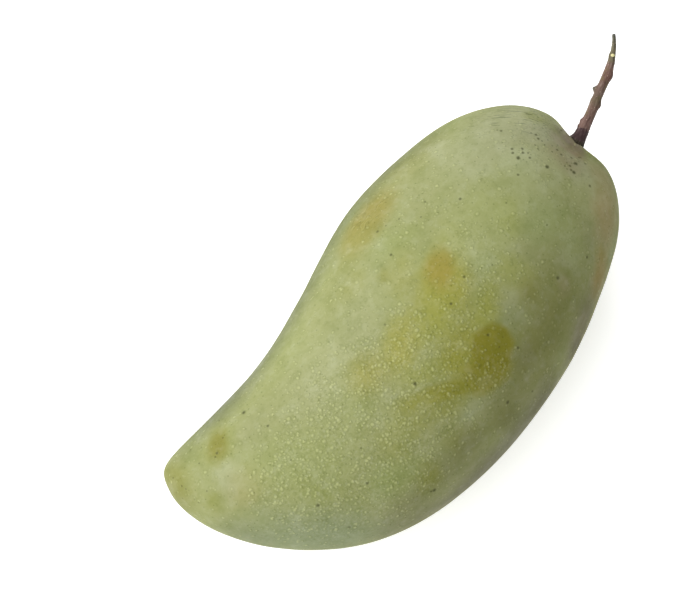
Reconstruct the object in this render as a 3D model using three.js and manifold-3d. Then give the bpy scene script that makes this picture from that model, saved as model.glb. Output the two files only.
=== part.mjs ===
// A long green mango with its woody stalk, lying on one cheek as it comes to rest.
//
// Units are millimetres, +Z is up. The origin is the middle of the small flat spot the fruit rests
// on. +X runs from the tip to the stalk end, +Y points to the hollow side, and -Y to the full back.
// The fruit is one grown solid. The stalk is a second solid, rooted in a blind socket in the fruit.

import * as THREE from "three";
import { mergeVertices } from "three/addons/utils/BufferGeometryUtils.js";
import Module from "manifold-3d";

const wasm = await Module();
wasm.setup();

// ---------------------------------------------------------------------------------------------
// Driving dimensions: the fruit
// ---------------------------------------------------------------------------------------------

// Stations from the tip to the stalk end. Each one gives the [x, y] of the hollow side, the [x, y]
// of the back, and half the thickness between the two cheeks. A smooth curve follows them closely.
const STATIONS = [
  { hollow: [-85, 16], back: [-88, 3], halfThickness: 6.5 },
  { hollow: [-78.5, 17.5], back: [-84, -9.5], halfThickness: 12 },
  { hollow: [-66, 18], back: [-73, -24.5], halfThickness: 17.5 },
  { hollow: [-51, 19.5], back: [-56.5, -37], halfThickness: 23 },
  { hollow: [-34, 24], back: [-37, -44], halfThickness: 27.5 },
  { hollow: [-15, 32.5], back: [-15.5, -45], halfThickness: 30.5 },
  { hollow: [5, 41.5], back: [5, -41.5], halfThickness: 32 },
  { hollow: [26, 43], back: [27, -35], halfThickness: 31.5 },
  { hollow: [45.5, 44], back: [47.5, -25.5], halfThickness: 28 },
  { hollow: [62, 37], back: [65, -15], halfThickness: 20 },
  { hollow: [68, 26], back: [72, -1], halfThickness: 11.5 },
];
const TIP = [-86.5, 10.5];

// Height of the fruit's middle above the resting spot, and how it climbs towards both ends.
const MIDDLE_HEIGHT = 31;
const MIDDLE_CLIMB = 0.035;
const MIDDLE_SAG = 0.0005;

// The sections are ovals with slightly full shoulders: 2 is an ellipse, more is squarer.
const SECTION_FULLNESS = 2.1;

// Gentle waves of the grown surface: waves round a section, phase per station, phase at the tip,
// and height as a share of the section's radius.
const WAVES = [
  { round: 3, along: 1.1, phase: 0.4, height: 0.006 },
  { round: 2, along: -1.7, phase: 2.0, height: 0.005 },
  { round: 5, along: 0.6, phase: 1.0, height: 0.004 },
];

// The shallow cavity that the stalk stands in. From the fruit's middle it fades in over its reach.
const SEAT = [72.5, 10.5, 46.5];
const CAVITY_DEPTH = 5.5;
const CAVITY_RADIUS = 9;
const CAVITY_REACH = 45;

// ---------------------------------------------------------------------------------------------
// Driving dimensions: the stalk
// ---------------------------------------------------------------------------------------------

// Centre line and radius, from the root inside the fruit to the dried tip.
const STALK_ROWS = [
  { at: [63.4, 9.8, 45.3], radius: 1.3 },
  { at: [65.2, 10.1, 45.8], radius: 1.9 },
  { at: [67, 10.6, 46.3], radius: 2.5 },
  { at: [68.4, 11.3, 47], radius: 2.1 },
  { at: [70, 11.9, 47.8], radius: 1.85 },
  { at: [72.7, 13.1, 49.1], radius: 1.65 },
  { at: [75.1, 13.9, 50.2], radius: 1.5 },
  { at: [78.5, 15.6, 51.9], radius: 1.4 },
  { at: [81.5, 16.9, 53.3], radius: 1.35 },
  { at: [85.7, 18.5, 55.3], radius: 1.35 },
  { at: [88.4, 20.1, 56.8], radius: 1.1 },
  { at: [90.4, 21.6, 57.9], radius: 0.75 },
  { at: [92.6, 23.5, 59.3], radius: 0.5 },
  { at: [94, 25.6, 60.6], radius: 0.4 },
];

// Knots where small side twigs fell off: place along the rows, angle round the stalk from its hollow
// side over its top, rise, and spread along the rows.
const KNOTS = [
  { row: 5.2, angle: 0, rise: 0.3, spread: 0.5 },
  { row: 6.9, angle: 180, rise: 0.55, spread: 0.35 },
  { row: 7.1, angle: 20, rise: 0.2, spread: 0.3 },
  { row: 7.95, angle: 0, rise: 1, spread: 0.2 },
  { row: 9.1, angle: 180, rise: 0.4, spread: 0.35 },
  { row: 10.9, angle: 30, rise: 0.3, spread: 0.25 },
];
const KNOT_WIDTH = 0.7;

// How far the rounded ends stand out past the first and last rows.
const STALK_END_RISE = 0.2;

// Clearance between the stalk's root and its socket.
const ROOT_GAP = 0.3;

// ---------------------------------------------------------------------------------------------
// Resolution
// ---------------------------------------------------------------------------------------------

const FRUIT_RINGS_PER_STATION = 5;
const FRUIT_SIDES = 60;
const STALK_RINGS_PER_ROW = 4;
const STALK_SIDES = 14;

// Value of a uniform cubic B-spline over rows of numbers, t counted in rows from the second one.
function splineAt(rows, t) {
  const first = Math.min(Math.floor(t), rows.length - 4);
  const f = t - first;
  const weights = [(1 - f) ** 3, 3 * f ** 3 - 6 * f ** 2 + 4, 3 * (f + f ** 2 - f ** 3) + 1, f ** 3];
  const mix = (k) => weights.reduce((sum, weight, r) => sum + (weight * rows[first + r][k]) / 6, 0);
  return rows[first].map((_, k) => mix(k));
}

// Closed surface over equal rings of points, with a single point at each end.
function skinOver(rings, startPoint, endPoint) {
  const sides = rings[0].length;
  const points = [startPoint, ...rings.flat(), endPoint];
  const last = points.length - 1;
  const faces = [];
  for (let j = 0; j < sides; j += 1) {
    const next = (j + 1) % sides;
    faces.push(0, 1 + next, 1 + j);
    faces.push(last, last - sides + j, last - sides + next);
    for (let i = 0; i < rings.length - 1; i += 1) {
      const near = 1 + i * sides;
      const far = near + sides;
      faces.push(near + j, near + next, far + j);
      faces.push(near + next, far + next, far + j);
    }
  }
  const geometry = new THREE.BufferGeometry().setFromPoints(points);
  geometry.setIndex(faces);
  return geometry;
}

// Height of the fruit's middle over the resting spot, at a place along its length.
function middleHeight(x) {
  return MIDDLE_HEIGHT + MIDDLE_CLIMB * x + MIDDLE_SAG * x * x;
}

// One station as a row of numbers: centre x, y, z, then half the span x, y, then half thickness.
function stationRow({ hollow, back, halfThickness }) {
  const x = (hollow[0] + back[0]) / 2;
  const y = (hollow[1] + back[1]) / 2;
  return [x, y, middleHeight(x), (hollow[0] - back[0]) / 2, (hollow[1] - back[1]) / 2, halfThickness];
}

// The two rows that close the fruit over an end point. The first has no span, and its centre is set
// so that the spline meets the end point exactly. The second is the last station's row turned over.
function closingRows(end, row) {
  const centre = row.slice(0, 3);
  const pulled = centre.map((value, k) => 1.5 * end[k] - 0.5 * value);
  return [
    [...pulled, 0, 0, 0],
    [...centre, ...row.slice(3).map((value) => -value)],
  ];
}

// All rows of the fruit, from beyond the tip to beyond the stalk end.
function fruitRows() {
  const rows = STATIONS.map(stationRow);
  const tipRows = closingRows([...TIP, middleHeight(TIP[0])], rows[0]);
  return [...tipRows.reverse(), ...rows, ...closingRows(SEAT, rows.at(-1))];
}

// Sum of the grown surface's waves, as a factor on a section's radius.
function waveFactor(t, angle) {
  const heightOf = (wave) => wave.height * Math.sin(wave.round * angle + wave.along * t + wave.phase);
  return WAVES.reduce((sum, wave) => sum + heightOf(wave), 1);
}

// How far the surface is drawn in by the stalk cavity.
function cavityAt(x, y, z) {
  const distance = Math.hypot(y - SEAT[1], z - SEAT[2]);
  const share = THREE.MathUtils.smoothstep(x, 0, CAVITY_REACH);
  return share * CAVITY_DEPTH * Math.exp(-((distance / CAVITY_RADIUS) ** 2));
}

// A point of the fruit's skin: t along the rows, angle round the section from the hollow side.
function fruitPoint(rows, t, angle) {
  const [x, y, z, spanX, spanY, halfThickness] = splineAt(rows, t);
  const full = (value) => Math.sign(value) * Math.abs(value) ** (2 / SECTION_FULLNESS);
  const across = full(Math.cos(angle)) * waveFactor(t, angle);
  const up = full(Math.sin(angle)) * waveFactor(t, angle);
  const point = new THREE.Vector3(x + spanX * across, y + spanY * across, z + halfThickness * up);
  point.x -= cavityAt(point.x, point.y, point.z);
  return point;
}

// The fruit's outer surface, before the resting spot and the socket are cut.
function fruitSkin() {
  const rows = fruitRows();
  const spans = rows.length - 3;
  const ringCount = spans * FRUIT_RINGS_PER_STATION;
  const ringAt = (i) =>
    Array.from({ length: FRUIT_SIDES }, (_, j) =>
      fruitPoint(rows, i / FRUIT_RINGS_PER_STATION, (2 * Math.PI * j) / FRUIT_SIDES),
    );
  const rings = Array.from({ length: ringCount - 1 }, (_, i) => ringAt(i + 1));
  return skinOver(rings, fruitPoint(rows, 0, 0), fruitPoint(rows, spans, 0));
}

// Rise of the knots over the stalk's plain radius, at a place along the rows and an angle.
function knotRise(row, angle) {
  const rises = KNOTS.map((knot) => {
    const along = (row - knot.row) / knot.spread;
    const turn = angle - THREE.MathUtils.degToRad(knot.angle);
    const round = Math.atan2(Math.sin(turn), Math.cos(turn)) / KNOT_WIDTH;
    return knot.rise * Math.exp(-(along ** 2) - round ** 2);
  });
  return rises.reduce((sum, rise) => sum + rise, 0);
}

// All rows of the stalk, with one more beyond each end so that the spline runs from root to tip.
function stalkRows() {
  const rows = STALK_ROWS.map(({ at, radius }) => [...at, radius]);
  const beyond = (end, before) => end.map((value, k) => 2 * value - before[k]);
  return [beyond(rows[0], rows[1]), ...rows, beyond(rows.at(-1), rows.at(-2))];
}

// A point on the stalk's centre line.
function stalkPoint(rows, t) {
  return new THREE.Vector3(...splineAt(rows, t).slice(0, 3));
}

// The direction in which the stalk's centre line runs.
function stalkHeading(rows, t) {
  const step = 0.01;
  const ahead = stalkPoint(rows, Math.min(t + step, rows.length - 3));
  return ahead.sub(stalkPoint(rows, Math.max(t - step, 0))).normalize();
}

// One ring round the stalk, with its radius grown by a clearance.
function stalkRing(rows, t, clearance) {
  const heading = stalkHeading(rows, t);
  const side = new THREE.Vector3(0, 0, 1).cross(heading).normalize();
  const up = new THREE.Vector3().crossVectors(heading, side);
  return Array.from({ length: STALK_SIDES }, (_, j) => {
    const angle = (2 * Math.PI * j) / STALK_SIDES;
    const radius = splineAt(rows, t)[3] + clearance + knotRise(t, angle);
    const outward = side.clone().multiplyScalar(Math.cos(angle)).addScaledVector(up, Math.sin(angle));
    return stalkPoint(rows, t).addScaledVector(outward, radius);
  });
}

// The stalk's closed surface, grown all over by a clearance.
function stalkSkin(clearance) {
  const rows = stalkRows();
  const spans = rows.length - 3;
  const ringCount = spans * STALK_RINGS_PER_ROW;
  const rings = Array.from({ length: ringCount + 1 }, (_, i) =>
    stalkRing(rows, i / STALK_RINGS_PER_ROW, clearance),
  );
  const endRise = STALK_END_RISE + clearance;
  const rootEnd = stalkPoint(rows, 0).addScaledVector(stalkHeading(rows, 0), -endRise);
  const tipEnd = stalkPoint(rows, spans).addScaledVector(stalkHeading(rows, spans), endRise);
  return skinOver(rings, rootEnd, tipEnd);
}

// A closed geometry as a solid for cutting.
function toSolid(geometry) {
  const merged = mergeVertices(geometry);
  const vertProperties = new Float32Array(merged.attributes.position.array);
  const triVerts = new Uint32Array(merged.index.array);
  return new wasm.Manifold(new wasm.Mesh({ numProp: 3, vertProperties, triVerts }));
}

// A solid as a geometry for display.
function toGeometry(solid) {
  const { numProp, vertProperties, triVerts } = solid.getMesh();
  const geometry = new THREE.BufferGeometry();
  geometry.setAttribute("position", new THREE.BufferAttribute(vertProperties, numProp));
  geometry.setIndex(new THREE.BufferAttribute(triVerts, 1));
  geometry.computeVertexNormals();
  return geometry;
}

// The whole fruit: its grown surface, flattened where it rests, with the stalk's socket.
function makeFruit() {
  const grown = toSolid(fruitSkin());
  const rested = grown.trimByPlane([0, 0, 1], 0);
  const fruit = new THREE.Mesh(
    toGeometry(rested.subtract(toSolid(stalkSkin(ROOT_GAP)))),
    new THREE.MeshStandardMaterial({ color: 0x9ba26b, roughness: 0.6, metalness: 0 }),
  );
  fruit.name = "fruit";
  return fruit;
}

// The woody stalk, with its flared foot, knots and dried tip.
function makeStalk() {
  const stalk = new THREE.Mesh(
    toGeometry(toSolid(stalkSkin(0))),
    new THREE.MeshStandardMaterial({ color: 0x6b4b44, roughness: 0.85, metalness: 0 }),
  );
  stalk.name = "stalk";
  return stalk;
}

const mango = new THREE.Group();
mango.add(makeFruit(), makeStalk());

export default mango;
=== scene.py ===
"""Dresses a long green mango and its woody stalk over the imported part.

The object lies in the part's own frame: +X runs from the tip to the stalk end, +Y points to the
hollow side, and +Z is up from the surface the fruit lies on. Lengths in this file are millimetres
until a mesh is made, and metres from there on.
"""

import logging
import math
from dataclasses import dataclass, field
from enum import Enum
from typing import Any, Callable, Optional, Sequence, Union

import bpy
import numpy as np
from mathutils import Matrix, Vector, noise


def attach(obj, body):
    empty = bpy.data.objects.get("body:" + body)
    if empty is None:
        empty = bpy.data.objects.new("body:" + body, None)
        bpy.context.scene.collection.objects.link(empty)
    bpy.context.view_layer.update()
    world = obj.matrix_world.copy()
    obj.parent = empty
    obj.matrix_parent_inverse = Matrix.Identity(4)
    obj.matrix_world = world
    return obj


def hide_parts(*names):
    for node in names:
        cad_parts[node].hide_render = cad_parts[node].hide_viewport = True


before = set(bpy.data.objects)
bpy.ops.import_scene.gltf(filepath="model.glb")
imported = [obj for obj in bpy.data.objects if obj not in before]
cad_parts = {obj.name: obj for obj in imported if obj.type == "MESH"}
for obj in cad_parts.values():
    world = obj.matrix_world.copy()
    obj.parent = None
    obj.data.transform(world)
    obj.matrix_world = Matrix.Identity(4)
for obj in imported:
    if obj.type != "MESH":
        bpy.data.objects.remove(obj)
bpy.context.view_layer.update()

LOG = logging.getLogger("mango")
METRES_PER_MM = 0.001
MM_PER_METRE = 1000.0
FAR_AWAY = 1000.0  # millimetres, beyond any place on the fruit
SHIFT_SHARES = (1.0, 0.7, 1.3)  # how far a grain's shift moves it along each axis
FADE_OUTSIDE = 0.4  # the share of a mark's fading edge that lies outside its oval

Pair = tuple[float, float]
Triple = tuple[float, float, float]
Fade = tuple[float, float, float, float]
Socket = bpy.types.NodeSocket
Value = Union[Socket, float, Triple]


class Node(Enum):
    """The part's solids that the dressed pieces stand for."""

    FRUIT = "fruit"
    STALK = "stalk"


class Slot(Enum):
    """The record's finishes."""

    SKIN = "skin"
    BARK = "bark"


class Body(Enum):
    """The bodies that a piece can ride on."""

    ROOT = "root"


class Blend(Enum):
    """How one colour is laid over another."""

    COVER = "MIX"
    DARKEN = "MULTIPLY"
    LIGHTEN = "SCREEN"


class Reading(Enum):
    """What is read from a piece's vertices: their places in metres or their normals."""

    PLACE = "co"
    NORMAL = "normal"


class Kept(Enum):
    """What a piece keeps on its points for the finish."""

    NUMBER = "Fac"
    TRIPLE = "Vector"


class Draw(Enum):
    """Which of its random numbers a cell gives."""

    FIRST = "Red"
    SECOND = "Green"


def shade(red: float, green: float, blue: float) -> Triple:
    """Turns a display colour into a linear one.

    Args:
        red: Red from 0 to 255.
        green: Green from 0 to 255.
        blue: Blue from 0 to 255.

    Returns:
        The linear colour, from 0 to 1.
    """

    def linear(level: float) -> float:
        """Linear light of one display level."""
        part = level / 255.0
        return part / 12.92 if part <= 0.04045 else ((part + 0.055) / 1.055) ** 2.4

    return linear(red), linear(green), linear(blue)


# --- Shape helpers ---


def spline(rows: np.ndarray, places: np.ndarray) -> np.ndarray:
    """Runs a uniform cubic B-spline over rows of numbers.

    Args:
        rows: One row of numbers per station, with one row beyond each end.
        places: Where to read it, counted in rows from the second one.

    Returns:
        One row of numbers per place.
    """
    first = np.minimum(np.floor(places).astype(int), len(rows) - 4)
    f = (places - first)[:, None]
    weights = ((1 - f) ** 3, 3 * f**3 - 6 * f**2 + 4, 3 * (f + f**2 - f**3) + 1, f**3)
    return sum(weight * rows[first + k] for k, weight in enumerate(weights)) / 6


def smooth_step(low: float, high: float, values: np.ndarray) -> np.ndarray:
    """Eases from 0 where the values are low to 1 where they are high."""
    part = np.clip((values - low) / (high - low), 0, 1)
    return part * part * (3 - 2 * part)


def unevenness(points: np.ndarray, size: float, seed: float) -> np.ndarray:
    """A soft random swell, from about -1 to 1 at each point. Its size is in millimetres."""
    scaled = points / size + seed
    return np.array([noise.noise(Vector(point)) for point in scaled.tolist()])


def closed_skin(name: str, rings: np.ndarray, start: np.ndarray, end: np.ndarray) -> bpy.types.Object:
    """Makes one closed piece from equal rings of points and a point at each end.

    Args:
        name: The piece's name.
        rings: Points in millimetres, shaped rings by sides by 3.
        start: The point that closes the first ring.
        end: The point that closes the last ring.

    Returns:
        The piece, with its faces smooth and turned outwards.
    """
    count, sides = rings.shape[:2]
    points = np.vstack([rings.reshape(-1, 3), start, end]) * METRES_PER_MM
    first, last = count * sides, count * sides + 1
    faces: list[tuple[int, ...]] = []
    for j in range(sides):
        k = (j + 1) % sides
        faces.append((first, k, j))
        faces.append((last, last - 1 - sides + j, last - 1 - sides + k))
        for i in range(count - 1):
            near, far = i * sides, (i + 1) * sides
            faces.append((near + j, near + k, far + k, far + j))
    mesh = bpy.data.meshes.new(name)
    mesh.from_pydata(points.tolist(), [], faces)
    mesh.polygons.foreach_set("use_smooth", [True] * len(mesh.polygons))
    mesh.update()
    return in_scene(name, mesh)


def in_scene(name: str, data: bpy.types.ID) -> bpy.types.Object:
    """Puts a mesh, lamp or camera into the scene as an object.

    Args:
        name: The object's name.
        data: What it shows.

    Returns:
        The object.
    """
    thing = bpy.data.objects.new(name, data)
    bpy.context.scene.collection.objects.link(thing)
    return thing


def read_vertices(piece: bpy.types.Object, reading: Reading) -> np.ndarray:
    """Reads a piece's vertices, one per row.

    Args:
        piece: The piece.
        reading: What is read.

    Returns:
        One row of three numbers per vertex.
    """
    flat = np.zeros(len(piece.data.vertices) * 3, np.float32)
    piece.data.vertices.foreach_get(reading.value, flat)
    return flat.reshape(-1, 3).astype(float)


def move_vertices(piece: bpy.types.Object, points: np.ndarray) -> None:
    """Puts a piece's vertices at the given places in millimetres."""
    piece.data.vertices.foreach_set("co", (points * METRES_PER_MM).astype(np.float32).ravel())
    piece.data.update()


def keep_on_points(piece: bpy.types.Object, name: str, values: np.ndarray) -> None:
    """Keeps one number or one triple per vertex for the finish to read.

    Args:
        piece: The piece that carries them.
        name: The name that the finish reads them by.
        values: One number, or one row of three, per vertex.
    """
    kind, field_name = ("FLOAT", "value") if values.ndim == 1 else ("FLOAT_VECTOR", "vector")
    attribute = piece.data.attributes.new(name, kind, "POINT")
    attribute.data.foreach_set(field_name, values.astype(np.float32).ravel())


# --- Finishes ---


@dataclass(frozen=True)
class Grain:
    """Cloudy random grain.

    Attributes:
        size: Width of its largest features in millimetres.
        detail: How many finer layers it has.
        roughness: How strong the finer layers are.
        shift: Moves the pattern so that two layers differ.
        turn: The direction that it is drawn out in, in degrees from +X towards +Y.
        stretch: How far it is drawn out along that direction, across it and upwards.
    """

    size: float
    detail: float = 2.0
    roughness: float = 0.5
    shift: float = 0.0
    turn: float = 0.0
    stretch: Optional[Triple] = None


class Worksheet:
    """One material's node tree, written as plain steps.

    Attributes:
        material: The material.
        where: The point on the object, in millimetres in the part's frame.
    """

    def __init__(self, name: str) -> None:
        """Starts an empty material with one shader.

        Args:
            name: The material's name.
        """
        self.material = bpy.data.materials.new(name)
        self.material.use_nodes = True
        self.tree = self.material.node_tree
        self.tree.nodes.clear()
        self.shader = self.tree.nodes.new("ShaderNodeBsdfPrincipled")
        output = self.tree.nodes.new("ShaderNodeOutputMaterial")
        self.tree.links.new(self.shader.outputs["BSDF"], output.inputs["Surface"])
        source = self.step("ShaderNodeTexCoord", {}).outputs["Object"]
        self.where = self.vector("SCALE", source, scale=MM_PER_METRE)

    def plug(self, socket: Socket, value: Value) -> None:
        """Links a socket, or sets it to a constant.

        Args:
            socket: The input socket.
            value: Another node's output, or a constant.
        """
        if isinstance(value, bpy.types.NodeSocket):
            self.tree.links.new(value, socket)
        elif isinstance(value, tuple) and socket.type == "RGBA":
            socket.default_value = (*value, 1.0)
        else:
            socket.default_value = value

    def step(self, kind: str, inputs: dict[Union[int, str], Value], **settings: Any) -> bpy.types.Node:
        """Adds one node.

        Args:
            kind: The node's type.
            inputs: What goes into its sockets, by name or number.
            **settings: The node's own settings.

        Returns:
            The node.
        """
        node = self.tree.nodes.new(kind)
        for name, setting in settings.items():
            setattr(node, name, setting)
        for key, value in inputs.items():
            self.plug(node.inputs[key], value)
        return node

    def kept(self, name: str, what: Kept = Kept.NUMBER) -> Socket:
        """Reads the number or the triple that a piece keeps on its points under a name."""
        return self.step("ShaderNodeAttribute", {}, attribute_name=name).outputs[what.value]

    def vector(self, operation: str, a: Value, b: Optional[Value] = None, scale: float = 1.0) -> Socket:
        """Vector arithmetic.

        Args:
            operation: Blender's name for it.
            a: The first vector.
            b: The second vector, if the operation has one.
            scale: The factor, for SCALE.

        Returns:
            The vector, or the number for DISTANCE.
        """
        inputs = {0: a, "Scale": scale} if b is None else {0: a, 1: b}
        node = self.step("ShaderNodeVectorMath", inputs, operation=operation)
        return node.outputs["Value" if operation == "DISTANCE" else "Vector"]

    def number(self, operation: str, a: Value, b: Value = 0.0) -> Socket:
        """Arithmetic on two numbers, by Blender's name for it."""
        return self.step("ShaderNodeMath", {0: a, 1: b}, operation=operation).outputs[0]

    def product(self, *values: Value) -> Socket:
        """Multiplies two or more numbers together.

        Args:
            *values: The numbers.

        Returns:
            Their product.
        """
        result = values[0]
        for value in values[1:]:
            result = self.number("MULTIPLY", result, value)
        return result

    def fade(self, value: Value, start: float, end: float, low: float = 0.0, high: float = 1.0) -> Socket:
        """Eases a number from low, where the value is at the start, to high, where it is at the end."""
        inputs = {"Value": value, "From Min": start, "From Max": end, "To Min": low, "To Max": high}
        return self.step("ShaderNodeMapRange", inputs, interpolation_type="SMOOTHSTEP").outputs["Result"]

    def grain(self, grain: Grain, where: Optional[Socket] = None) -> Socket:
        """Random grain about a half.

        Args:
            grain: Its size and character.
            where: The place in millimetres, if it isn't the point itself.

        Returns:
            A number from 0 to 1.
        """
        moved = self.where if where is None else where
        if grain.stretch:
            turn = (0.0, 0.0, math.radians(grain.turn))
            inputs = {"Vector": moved, "Rotation": turn, "Scale": grain.stretch}
            moved = self.step("ShaderNodeMapping", inputs, vector_type="TEXTURE").outputs["Vector"]
        if grain.shift:
            moved = self.vector("ADD", moved, tuple(grain.shift * share for share in SHIFT_SHARES))
        inputs = {"Vector": moved, "Scale": 1.0 / grain.size}
        inputs |= {"Detail": grain.detail, "Roughness": grain.roughness}
        return self.step("ShaderNodeTexNoise", inputs).outputs["Fac"]

    def wander(self, size: float, reach: float, detail: float = 2.0) -> Socket:
        """Moves the point about at random, which makes edges irregular.

        Args:
            size: Width of the movements' features in millimetres.
            reach: How far they move it at most, in millimetres.
            detail: How many finer layers the movement has.

        Returns:
            The moved place.
        """
        inputs = {"Vector": self.where, "Scale": 1.0 / size, "Detail": detail}
        colour = self.step("ShaderNodeTexNoise", inputs).outputs["Color"]
        centred = self.vector("SUBTRACT", colour, (0.5, 0.5, 0.5))
        return self.vector("ADD", self.where, self.vector("SCALE", centred, scale=2.0 * reach))

    def cells(self, where: Socket, spacing: float, draw: Draw = Draw.FIRST) -> tuple[Socket, Socket]:
        """Strews one spot at random in each cell.

        Args:
            where: The place in millimetres.
            spacing: A cell's size in millimetres.
            draw: Which random number to give.

        Returns:
            The distance to the nearest spot, as a share of the spacing, and that spot's random number.
        """
        cell = self.step("ShaderNodeTexVoronoi", {"Vector": where, "Scale": 1.0 / spacing})
        chance = self.step("ShaderNodeSeparateColor", {"Color": cell.outputs["Color"]})
        return cell.outputs["Distance"], chance.outputs[draw.value]

    def mix(self, amount: Value, under: Value, over: Value, blend: Blend = Blend.COVER) -> Socket:
        """Lays one colour over another.

        Args:
            amount: How much of it, from 0 to 1.
            under: The colour below.
            over: The colour on top.
            blend: How it is laid.

        Returns:
            The colour.
        """
        node = self.step("ShaderNodeMix", {}, data_type="RGBA", blend_type=blend.value)
        for number, value in ((0, amount), (6, under), (7, over)):
            self.plug(node.inputs[number], value)
        return node.outputs[2]

    def ramp(self, value: Socket, stops: Sequence[tuple[float, Triple]]) -> Socket:
        """Colours along a number.

        Args:
            value: A number from 0 to 1.
            stops: Places from 0 to 1 and their colours, in order.

        Returns:
            The colour.
        """
        node = self.step("ShaderNodeValToRGB", {"Fac": value})
        elements = node.color_ramp.elements
        while len(elements) > 1:
            elements.remove(elements[-1])
        elements[0].position, elements[0].color = stops[0][0], (*stops[0][1], 1.0)
        for position, colour in stops[1:]:
            elements.new(position).color = (*colour, 1.0)
        return node.outputs["Color"]

    def complete(self, layers: dict[str, Value], height: Optional[Socket] = None) -> bpy.types.Material:
        """Plugs the finished layers into the shader.

        Args:
            layers: What goes into the shader, by the names of its inputs.
            height: The relief in millimetres, if the surface has any.

        Returns:
            The material.
        """
        for name, layer in layers.items():
            self.plug(self.shader.inputs[name], layer)
        if height is not None:
            inputs = {"Height": height, "Distance": METRES_PER_MM, "Strength": 1.0}
            self.plug(self.shader.inputs["Normal"], self.step("ShaderNodeBump", inputs).outputs["Normal"])
        return self.material


@dataclass(frozen=True)
class Mark:
    """A patch of the skin, as an oval region round a point.

    Attributes:
        name: What it is, kept as its node's label.
        centre: Its middle, in millimetres.
        reach: Its half widths along, across and in depth, in millimetres.
        turn: The direction of its length, in degrees from +X towards +Y.
        amount: How strongly it covers the skin, from 0 to 1.
        softness: Width of its fading edge, as a share of its half width.
        colour: Its colour, unless it only says where something else is.
    """

    name: str
    centre: Triple
    reach: Triple
    turn: float
    amount: float
    softness: float = 0.8
    colour: Optional[Triple] = None

    def cover(self, sheet: Worksheet, where: Optional[Socket] = None) -> Socket:
        """How much the mark covers the skin at a place.

        Args:
            sheet: The material being written.
            where: The place in millimetres, if it isn't the point itself.

        Returns:
            The cover, from 0 to the mark's amount.
        """
        end = 1.0 + self.softness * FADE_OUTSIDE
        inputs = {"Vector": sheet.where if where is None else where}
        ball = sheet.step("ShaderNodeTexGradient", inputs, gradient_type="SPHERICAL", label=self.name)
        mapping = ball.texture_mapping
        mapping.vector_type = "TEXTURE"
        mapping.translation = self.centre
        mapping.rotation = (0.0, 0.0, math.radians(self.turn))
        mapping.scale = tuple(half * end for half in self.reach)
        return sheet.fade(ball.outputs["Fac"], 0.0, 1.0 - (1.0 - self.softness) / end, 0.0, self.amount)


def lay(
    sheet: Worksheet, marks: Sequence[Mark], colour: Socket, where: Socket, blend: Blend = Blend.COVER
) -> Socket:
    """Lays marks over a colour, one after another.

    Args:
        sheet: The material being written.
        marks: The marks, lowest first.
        colour: The colour below.
        where: The place in millimetres.
        blend: How they are laid.

    Returns:
        The colour.
    """
    for mark in marks:
        colour = sheet.mix(mark.cover(sheet, where), colour, mark.colour, blend)
    return colour


def factors(red: float, green: float, blue: float) -> Triple:
    """Gives a colour that is stated as plain factors, for darkening."""
    return red, green, blue


def coloured(tint: Callable[[float, float, float], Triple], *rows: tuple[Any, ...]) -> tuple[Mark, ...]:
    """Makes marks from rows of name, centre, reach, turn, colour for the tint, amount and softness."""
    return tuple(Mark(*row[:4], *row[5:], colour=tint(*row[4])) for row in rows)


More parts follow.
